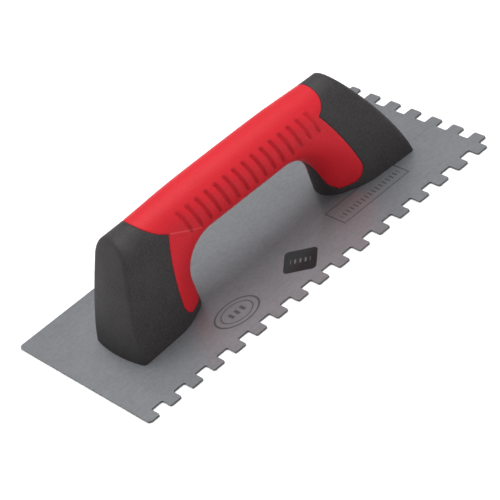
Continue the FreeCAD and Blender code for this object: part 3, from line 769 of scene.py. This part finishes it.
def moulded_material(name, colour, rough, drift, mottle, dust, seam_depth, bump, parting=None):
    """A moulded plastic or rubber with its neighbour's joint line; the grip adds a parting line and painted
    shade in its finger grooves.
    """
    material, tree, shader, place = new_material(name)
    values = {"Colour": colour, "Drift": drift, "Mottle": mottle, "Dust": dust, "Roughness": rough}
    surface = add_group(tree, shared_group("Moulded surface", plastic_group), values, place)
    seam = add_group(tree, shared_group("Moulding joint", seam_group),
                     {"Colour": surface.outputs["Colour"], "Depth": seam_depth})
    colour_out = seam.outputs["Colour"]
    height = Wire(tree, surface.outputs["Height"]) * bump + Wire(tree, seam.outputs["Height"]) * 0.6
    if parting:
        line = parting_line(tree, place, parting)
        colour_out = mix_colour(tree, line * 0.30, colour_out, (0.80, 0.14, 0.15, 1.0))
        height = height + line * 0.3
        mark = tree.nodes.new("ShaderNodeAttribute")
        mark.attribute_name = "groove"
        groove = Wire(tree, mark.outputs["Fac"])
        # Painted shade: the finger grooves are painted dark red, darkest down their middles, standing in for
        # the shade that falls in them.
        colour_out = mix_colour(tree, groove * 0.62, colour_out, (0.16, 0.004, 0.008, 1.0))
    tree.links.new(colour_out, shader.inputs["Base Color"])
    tree.links.new(surface.outputs["Roughness"], shader.inputs["Roughness"])
    add_bump(tree, shader, height, 0.0004, 0.55)
    return material, shader


def parting_line(tree, place, k):
    """The thin raised crease from the rear neck to the corner of the finger gap."""
    x, _, z = axes_mm(tree, place)
    x = x * -1.0
    (start_x, start_z), (run_x, run_z) = k.parting_start, k.parting_run
    along = ((x - start_x) * run_x + (z - start_z) * run_z) / (run_x ** 2 + run_z ** 2)
    along = along.high(0.0).low(1.0)
    dx = x - (along * run_x + start_x)
    dz = z - (along * run_z + start_z)
    return (dx * dx + dz * dz).math("SQRT").step_down(0.4, 0.3)


def shared_group(name, maker):
    """A node group by name, made the first time that it's wanted."""
    return bpy.data.node_groups.get(name) or maker()


def etched_marks(tree, place, m):
    """Plain marks on the blade's upper face: two rings, a dark patch and a ruled gauge."""
    x, y, z = axes_mm(tree, place)
    upper_face = round(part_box("blade")[1].z / MM, 3)
    ring_x, ring_y = x - m.ring_centre[0], y - m.ring_centre[1]
    oval_x, oval_y = ring_x / m.ring_radii[0], ring_y / m.ring_radii[1]
    radius = (oval_x * oval_x + oval_y * oval_y).math("SQRT")
    ring = (radius - 1.0).abs().step_down(0.045, 0.02).high((radius - 0.72).abs().step_down(0.03, 0.02))
    comb = (ring_x.math("PINGPONG", 2.2) - 1.1).step_down(0.0, 0.25)
    comb = comb * ring_x.abs().step_down(6.6, 0.2) * ring_y.abs().step_down(2.4, 0.2)

    eighth_turn = 0.7071
    patch_x, patch_y = x - m.patch_centre[0], y - m.patch_centre[1]
    turned_x, turned_y = (patch_x + patch_y) * eighth_turn, (patch_y - patch_x) * eighth_turn
    past_x = (turned_x.abs() - m.patch_half).high(0.0)
    past_y = (turned_y.abs() - m.patch_half).high(0.0)
    patch = (past_x * past_x + past_y * past_y).math("SQRT").step_down(m.patch_corner, 0.25)
    bars = (turned_y.math("PINGPONG", 1.6) - 0.55).step_down(0.0, 0.2)
    bars = bars * turned_y.abs().step_down(6.2, 0.2) * turned_x.abs().step_down(1.9, 0.2)
    patch = patch * (bars * -0.75 + 1.0)

    gauge_x, gauge_y = x - m.gauge_centre[0], y - m.gauge_centre[1]
    outline = (gauge_x.abs() - m.gauge_half[0]).high(gauge_y.abs() - m.gauge_half[1])
    outline = outline.abs().step_down(0.4, 0.2)
    ticks = (gauge_x.math("PINGPONG", 1.5) - 0.5).step_down(0.0, 0.15)
    ticks = ticks * gauge_x.abs().step_down(24.0, 0.2) * (gauge_y + m.tick_drop).abs().step_down(2.2, 0.2)
    on_top = (z - upper_face).abs().step_down(0.05, 0.02)
    faint = ring.high(comb).high(outline).high(ticks) * on_top
    return faint, patch * on_top


def blade_material(colour, m):
    """Satin spring steel with painted shade on its cut edges, and plain marks."""
    material, tree, shader, place = new_material("blade_satin_steel")
    steel = add_group(tree, shared_group("Ground steel", steel_group),
                      {"Colour": colour, "Cloud": 0.40, "Roughness": 0.60}, place)
    faint, patch = etched_marks(tree, place, m)
    colour = mix_colour(tree, faint * 0.75, steel.outputs["Colour"], (0.06, 0.06, 0.065, 1.0))
    colour = mix_colour(tree, patch * 0.93, colour, (0.02, 0.02, 0.021, 1.0))
    # Painted shade: the blade's upright cut edges, found by their normals, are painted much darker than its
    # faces.
    normal = tree.nodes.new("ShaderNodeNewGeometry").outputs["Normal"]
    split = tree.nodes.new("ShaderNodeSeparateXYZ")
    tree.links.new(normal, split.inputs[0])
    painted_edge_shade = Wire(tree, split.outputs[2]).abs().step_down(0.5, 0.2)
    colour = mix_colour(tree, painted_edge_shade * 0.85, colour, (0.075, 0.072, 0.07, 1.0))
    tree.links.new(colour, shader.inputs["Base Color"])
    rough = Wire(tree, steel.outputs["Roughness"]) + (patch * 0.25) + (faint * 0.15) + painted_edge_shade * 0.2
    tree.links.new(rough.socket, shader.inputs["Roughness"])
    shader.inputs["Metallic"].default_value = 1.0
    shader.inputs["Coat Weight"].default_value = 0.6
    shader.inputs["Coat Roughness"].default_value = 0.14
    height = Wire(tree, steel.outputs["Height"]) * 0.25 - faint * 0.25
    add_bump(tree, shader, height, 0.00008, 0.5)
    return material


def plain_steel_material(name, colour, rough):
    """Small steel hardware: ground or plated."""
    material, tree, shader, place = new_material(name)
    steel = add_group(tree, shared_group("Ground steel", steel_group),
                      {"Colour": colour, "Cloud": 0.3, "Roughness": rough}, place)
    tree.links.new(steel.outputs["Colour"], shader.inputs["Base Color"])
    tree.links.new(steel.outputs["Roughness"], shader.inputs["Roughness"])
    shader.inputs["Metallic"].default_value = 1.0
    add_bump(tree, shader, Wire(tree, steel.outputs["Height"]), 0.00005, 0.4)
    return material


# ---------------------------------------------------------------- grooves by geometry nodes

def groove_group():
    """Sinks a row of leaning grooves into both sides of the grip."""
    tree = bpy.data.node_groups.new("Grip grooves", "GeometryNodeTree")
    sizes = ("Spacing", "Start", "Lean", "Half width", "Depth", "Radius", "Centre height", "Top angle",
             "Bottom angle")
    tree.interface.new_socket("Geometry", in_out="INPUT", socket_type="NodeSocketGeometry")
    tree.interface.new_socket("Count", in_out="INPUT", socket_type="NodeSocketInt")
    for label in sizes:
        tree.interface.new_socket(label, in_out="INPUT", socket_type="NodeSocketFloat")
    tree.interface.new_socket("Material", in_out="INPUT", socket_type="NodeSocketMaterial")
    tree.interface.new_socket("Geometry", in_out="OUTPUT", socket_type="NodeSocketGeometry")
    nodes, links = tree.nodes, tree.links
    src, out = nodes.new("NodeGroupInput"), nodes.new("NodeGroupOutput")

    def math_node(kind, first, second=None):
        node = nodes.new("ShaderNodeMath")
        node.operation = kind
        for slot, value in enumerate((first, second)):
            if isinstance(value, bpy.types.NodeSocket):
                links.new(value, node.inputs[slot])
            elif value is not None:
                node.inputs[slot].default_value = value
        return node.outputs[0]

    def vector_of(x, y, z):
        node = nodes.new("ShaderNodeCombineXYZ")
        for slot, value in enumerate((x, y, z)):
            if isinstance(value, bpy.types.NodeSocket):
                links.new(value, node.inputs[slot])
            else:
                node.inputs[slot].default_value = value
        return node.outputs[0]

    straight = nodes.new("GeometryNodeCurvePrimitiveLine")
    fine = nodes.new("GeometryNodeResampleCurve")
    fine.inputs["Count"].default_value = 16
    links.new(straight.outputs["Curve"], fine.inputs["Curve"])
    factor = nodes.new("GeometryNodeSplineParameter").outputs["Factor"]
    fall = math_node("SUBTRACT", src.outputs["Bottom angle"], src.outputs["Top angle"])
    angle = math_node("ADD", src.outputs["Top angle"], math_node("MULTIPLY", fall, factor))
    reach = math_node("MULTIPLY", math_node("COSINE", angle), src.outputs["Radius"])
    rise = math_node("MULTIPLY", math_node("SINE", angle), src.outputs["Radius"])
    bent = nodes.new("GeometryNodeSetPosition")
    links.new(fine.outputs["Curve"], bent.inputs["Geometry"])
    links.new(vector_of(math_node("MULTIPLY", factor, src.outputs["Lean"]),
                        math_node("MULTIPLY", reach, -1.0),
                        math_node("ADD", rise, src.outputs["Centre height"])), bent.inputs["Position"])
    wire = nodes.new("GeometryNodeCurveToMesh")
    links.new(bent.outputs["Geometry"], wire.inputs["Curve"])

    row = nodes.new("GeometryNodeMeshLine")
    links.new(src.outputs["Count"], row.inputs["Count"])
    links.new(vector_of(src.outputs["Start"], 0.0, 0.0), row.inputs["Start Location"])
    links.new(vector_of(src.outputs["Spacing"], 0.0, 0.0), row.inputs["Offset"])
    join = nodes.new("GeometryNodeJoinGeometry")
    for flip in (1.0, -1.0):
        spread = nodes.new("GeometryNodeInstanceOnPoints")
        links.new(row.outputs["Mesh"], spread.inputs["Points"])
        links.new(wire.outputs["Mesh"], spread.inputs["Instance"])
        spread.inputs["Scale"].default_value = (1.0, flip, 1.0)
        links.new(spread.outputs["Instances"], join.inputs["Geometry"])
    real = nodes.new("GeometryNodeRealizeInstances")
    links.new(join.outputs["Geometry"], real.inputs["Geometry"])
    near = nodes.new("GeometryNodeProximity")
    near.target_element = "EDGES"
    links.new(real.outputs["Geometry"], near.inputs["Geometry"])

    fade = nodes.new("ShaderNodeMapRange")
    fade.interpolation_type = "SMOOTHSTEP"
    links.new(near.outputs["Distance"], fade.inputs["Value"])
    links.new(src.outputs["Half width"], fade.inputs["From Max"])
    fade.inputs["To Min"].default_value = 1.0
    fade.inputs["To Max"].default_value = 0.0
    sink = math_node("MULTIPLY", fade.outputs["Result"], math_node("MULTIPLY", src.outputs["Depth"], -1.0))
    push = nodes.new("ShaderNodeVectorMath")
    push.operation = "SCALE"
    links.new(nodes.new("GeometryNodeInputNormal").outputs["Normal"], push.inputs[0])
    links.new(sink, push.inputs["Scale"])
    moved = nodes.new("GeometryNodeSetPosition")
    links.new(src.outputs["Geometry"], moved.inputs["Geometry"])
    links.new(push.outputs[0], moved.inputs["Offset"])
    # Keep each groove's mask by name; the grip's material uses it to paint shade into the grooves.
    mark = nodes.new("GeometryNodeStoreNamedAttribute")
    mark.data_type = "FLOAT"
    mark.domain = "POINT"
    mark.inputs["Name"].default_value = "groove"
    links.new(moved.outputs["Geometry"], mark.inputs["Geometry"])
    links.new(fade.outputs["Result"], mark.inputs["Value"])
    paint = nodes.new("GeometryNodeSetMaterial")
    links.new(mark.outputs["Geometry"], paint.inputs["Geometry"])
    links.new(src.outputs["Material"], paint.inputs["Material"])
    links.new(paint.outputs["Geometry"], out.inputs["Geometry"])
    return tree


def sink_grooves(piece, g, material):
    """Run the groove group on a piece and keep its result as the piece's own mesh."""
    tree = groove_group()
    step = piece.modifiers.new("grooves", "NODES")
    step.node_group = tree
    values = {"Count": g.count, "Spacing": g.spacing * MM, "Start": g.start * MM, "Lean": g.lean * MM,
              "Half width": g.width * MM, "Depth": g.depth * MM, "Radius": g.radius * MM,
              "Centre height": g.centre_height * MM, "Top angle": g.top_angle,
              "Bottom angle": g.bottom_angle, "Material": material}
    for item in tree.interface.items_tree:
        if item.in_out == "INPUT" and item.name in values:
            step[item.identifier] = values[item.name]
    bpy.context.view_layer.update()
    shaped = piece.evaluated_get(bpy.context.evaluated_depsgraph_get())
    mesh = bpy.data.meshes.new_from_object(shaped)
    piece.modifiers.remove(step)
    piece.data = mesh


# ---------------------------------------------------------------- operators

def cad_node(name):
    """A construction node by name; an error if the frame hasn't got it."""
    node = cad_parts.get(name)
    if node is None:
        raise RuntimeError("the frame has no construction node named %s" % name)
    return node


def dress(node, material):
    """Give a construction node one material in every slot."""
    if not node.data.materials:
        node.data.materials.append(material)
    for slot in node.material_slots:
        slot.material = material


def new_piece(name, mesh, material):
    """A visible piece at the origin with one material."""
    piece = bpy.data.objects.new(name, mesh)
    bpy.context.scene.collection.objects.link(piece)
    mesh.materials.clear()
    mesh.materials.append(material)
    return piece


class TROWEL_OT_blade(bpy.types.Operator):
    """Dress the blade as satin steel with plain marks"""

    bl_idname = "trowel.blade"
    bl_label = "Blade"

    def execute(self, context):
        marks = in_millimetres(context.scene.trowel_marks)
        dress(cad_node("blade"), blade_material(tuple(context.scene.trowel_colours.blade), marks))
        return {"FINISHED"}


def moulded_parts(s, k):
    """The handle's outer surface, and the block that parts it into soft grip and hard core."""
    outer = form_mesh(s, "handle_outer", 0.0, s.rings, s.spokes)
    inner = form_mesh(s, "handle_inner", s.skin, s.rings // 3, s.spokes // 3)
    block = extrude_outline("skin_block", skin_outline(k), "Y", -ACROSS_HANDLE, ACROSS_HANDLE)
    for end, side in enumerate(ENDS.values()):
        tongue = extrude_outline("tongue_block", tongue_outline(k, end), "X", 0.0, side * INTO_POST)
        block = carve(block, tongue, "DIFFERENCE")
    return outer, carve(block, inner, "DIFFERENCE")


class TROWEL_OT_handle_core(bpy.types.Operator):
    """Make the hard handle core: two hollow feet and the bridge under the soft grip"""

    bl_idname = "trowel.handle_core"
    bl_label = "Handle core"

    def execute(self, context):
        s = in_millimetres(context.scene.trowel_handle)
        k = in_millimetres(context.scene.trowel_grip)
        f = in_millimetres(context.scene.trowel_foot)
        outer, block = moulded_parts(s, k)
        core = carve(outer, block, "DIFFERENCE")
        for end, side in ENDS.items():
            for tool in cavity_meshes(s, f, end, side):
                core = carve(core, tool, "DIFFERENCE")
        finish_surface(core, s, k)
        black, shader = moulded_material("handle_black_plastic", tuple(context.scene.trowel_colours.core),
                                         rough=0.56, drift=0.25, mottle=0.55, dust=0.08,
                                         seam_depth=0.7, bump=0.85)
        shader.inputs["Specular IOR Level"].default_value = 0.24
        core_piece = new_piece("handle_core_shell", core, black)
        shade_by_angle(core_piece.data, CREASE_ANGLE)
        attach(core_piece, "root")
        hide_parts("handle_core")
        return {"FINISHED"}


class TROWEL_OT_soft_grip(bpy.types.Operator):
    """Make the soft grip that is moulded over the core, with its finger grooves"""

    bl_idname = "trowel.soft_grip"
    bl_label = "Soft grip"

    def execute(self, context):
        s = in_millimetres(context.scene.trowel_handle)
        k = in_millimetres(context.scene.trowel_grip)
        outer, block = moulded_parts(s, k)
        skin = carve(outer, block, "INTERSECT")
        finish_surface(skin, s, k)
        red, shader = moulded_material("grip_red_rubber", tuple(context.scene.trowel_colours.grip),
                                       rough=0.50, drift=0.10, mottle=0.16, dust=0.0,
                                       seam_depth=0.55, bump=0.45, parting=k)
        shader.inputs["Specular IOR Level"].default_value = 0.18
        skin_piece = new_piece("soft_grip_skin", skin, red)
        sink_grooves(skin_piece, in_millimetres(context.scene.trowel_grooves), red)
        shade_by_angle(skin_piece.data, CREASE_ANGLE)
        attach(skin_piece, "root")
        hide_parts("soft_grip")
        return {"FINISHED"}


class TROWEL_OT_fixings(bpy.types.Operator):
    """Dress the plates, rivets, studs, washers, nuts and plugs inside the feet"""

    bl_idname = "trowel.fixings"
    bl_label = "Fixings"

    def execute(self, context):
        colours = context.scene.trowel_colours
        rivet = plain_steel_material("rivet_ground_steel", tuple(colours.rivet), 0.30)
        zinc = plain_steel_material("zinc_plated_steel", tuple(colours.zinc), 0.26)
        plug, _ = moulded_material("well_plug_plastic", tuple(colours.plug), rough=0.5, drift=0.2,
                                   mottle=0.2, dust=0.0, seam_depth=0.0, bump=0.5)
        for end in ENDS:
            dress(cad_node(end + "_rivets"), rivet)
            dress(cad_node(end + "_well_plug"), plug)
            for part in ("_mounting_plate", "_stud", "_washer", "_lock_washer", "_nut"):
                dress(cad_node(end + part), zinc)
        return {"FINISHED"}


# Each light's name, place and width in metres, and power in watts.
LIGHTS = (("top_softbox", (0.10, 0.12, 1.35), 1.3, 19.0),
          ("rear_card", (-1.1, 1.1, 0.9), 0.9, 1.5),
          ("front_fill", (0.9, -1.3, 0.9), 1.0, 3.5))


def aim(item, place, target):
    """Put a light at a place and point it at a target."""
    item.location = place
    item.rotation_mode = "QUATERNION"
    item.rotation_quaternion = (Vector(target) - Vector(place)).to_track_quat("-Z", "Y")


class TROWEL_OT_stage(bpy.types.Operator):
    """Make the floor, the lights, the world and the camera"""

    bl_idname = "trowel.stage"
    bl_label = "Stage"

    def execute(self, context):
        self.make_floor(context)
        for light in LIGHTS:
            self.make_light(context, *light)
        self.make_world(context)
        self.make_camera(context, context.scene.trowel_stage)
        return {"FINISHED"}

    def make_floor(self, context):
        """A plain pale floor, just below the blade."""
        half, height = 6.0, -0.0004
        mesh = bpy.data.meshes.new("floor")
        mesh.from_pydata([(-half, -half, height), (half, -half, height), (half, half, height),
                          (-half, half, height)], [], [(0, 1, 2, 3)])
        floor = bpy.data.objects.new("floor", mesh)
        context.scene.collection.objects.link(floor)
        material, tree, shader, place = new_material("floor_pale")
        tone = noise(tree, place, 3.0, 2.0)
        tree.links.new(mix_colour(tree, tone, (0.93, 0.93, 0.93, 1.0), (0.95, 0.95, 0.95, 1.0)),
                       shader.inputs["Base Color"])
        shader.inputs["Roughness"].default_value = 0.9
        shader.inputs["Specular IOR Level"].default_value = 0.1
        mesh.materials.append(material)

    def make_light(self, context, name, place, size, power):
        """One round area light, pointed at the middle of the object."""
        data = bpy.data.lights.new(name, "AREA")
        data.shape = "DISK"
        data.size = size
        data.energy = power
        light = bpy.data.objects.new(name, data)
        context.scene.collection.objects.link(light)
        aim(light, place, (0.0, 0.0, 0.03))

    def make_world(self, context):
        """An even, nearly white surround."""
        world = bpy.data.worlds.new("studio")
        world.use_nodes = True
        back = world.node_tree.nodes["Background"]
        back.inputs["Color"].default_value = (0.97, 0.98, 1.0, 1.0)
        back.inputs["Strength"].default_value = 0.55
        context.scene.world = world
        context.scene.view_settings.view_transform = "Standard"

    def make_camera(self, context, t):
        """The camera, placed round its target by its angles and distance."""
        back = Vector((math.sin(t.azimuth) * math.cos(t.elevation),
                       -math.cos(t.azimuth) * math.cos(t.elevation), math.sin(t.elevation)))
        level = Vector((math.cos(t.azimuth), math.sin(t.azimuth), 0.0))
        upright = back.cross(level)
        right = level * math.cos(t.roll) + upright * math.sin(t.roll)
        up = upright * math.cos(t.roll) - level * math.sin(t.roll)
        data = bpy.data.cameras.new("camera")
        data.sensor_width = 36.0
        data.lens = t.lens
        data.clip_start, data.clip_end = 0.05, 50.0
        camera = bpy.data.objects.new("camera", data)
        context.scene.collection.objects.link(camera)
        camera.matrix_world = Matrix.Translation(Vector(t.target) + back * t.distance) @ Matrix(
            (right, up, back)).transposed().to_4x4()
        context.scene.camera = camera


class TROWEL_PT_panel(bpy.types.Panel):
    """Sizes and buttons for the trowel"""

    bl_idname = "TROWEL_PT_panel"
    bl_label = "Notched trowel"
    bl_space_type = "VIEW_3D"
    bl_region_type = "UI"
    bl_category = "Trowel"

    def draw(self, context):
        for name, item in SETTINGS.items():
            column = self.layout.box().column()
            column.label(text=item.__doc__)
            for setting in item.__annotations__:
                column.prop(getattr(context.scene, name), setting)
        for item in OPERATORS:
            self.layout.operator(item.bl_idname)


SETTINGS = {"trowel_handle": TrowelHandleSettings, "trowel_grip": TrowelGripSettings,
            "trowel_foot": TrowelFootSettings, "trowel_grooves": TrowelGrooveSettings,
            "trowel_marks": TrowelMarkSettings, "trowel_colours": TrowelColourSettings,
            "trowel_stage": TrowelStageSettings}
OPERATORS = (TROWEL_OT_blade, TROWEL_OT_handle_core, TROWEL_OT_soft_grip, TROWEL_OT_fixings,
             TROWEL_OT_stage)


def register():
    """Register the classes and hang the settings on the scene."""
    for item in (*SETTINGS.values(), *OPERATORS, TROWEL_PT_panel):
        bpy.utils.register_class(item)
    for name, item in SETTINGS.items():
        setattr(bpy.types.Scene, name, bpy.props.PointerProperty(type=item))


def unregister():
    """Take the settings and the classes away again."""
    for name in SETTINGS:
        delattr(bpy.types.Scene, name)
    for item in reversed((*SETTINGS.values(), *OPERATORS, TROWEL_PT_panel)):
        bpy.utils.unregister_class(item)


def main():
    """Make every piece and the stage."""
    register()
    bpy.ops.trowel.blade()
    bpy.ops.trowel.handle_core()
    bpy.ops.trowel.soft_grip()
    bpy.ops.trowel.fixings()
    bpy.ops.trowel.stage()


if __name__ == "__main__":
    main()
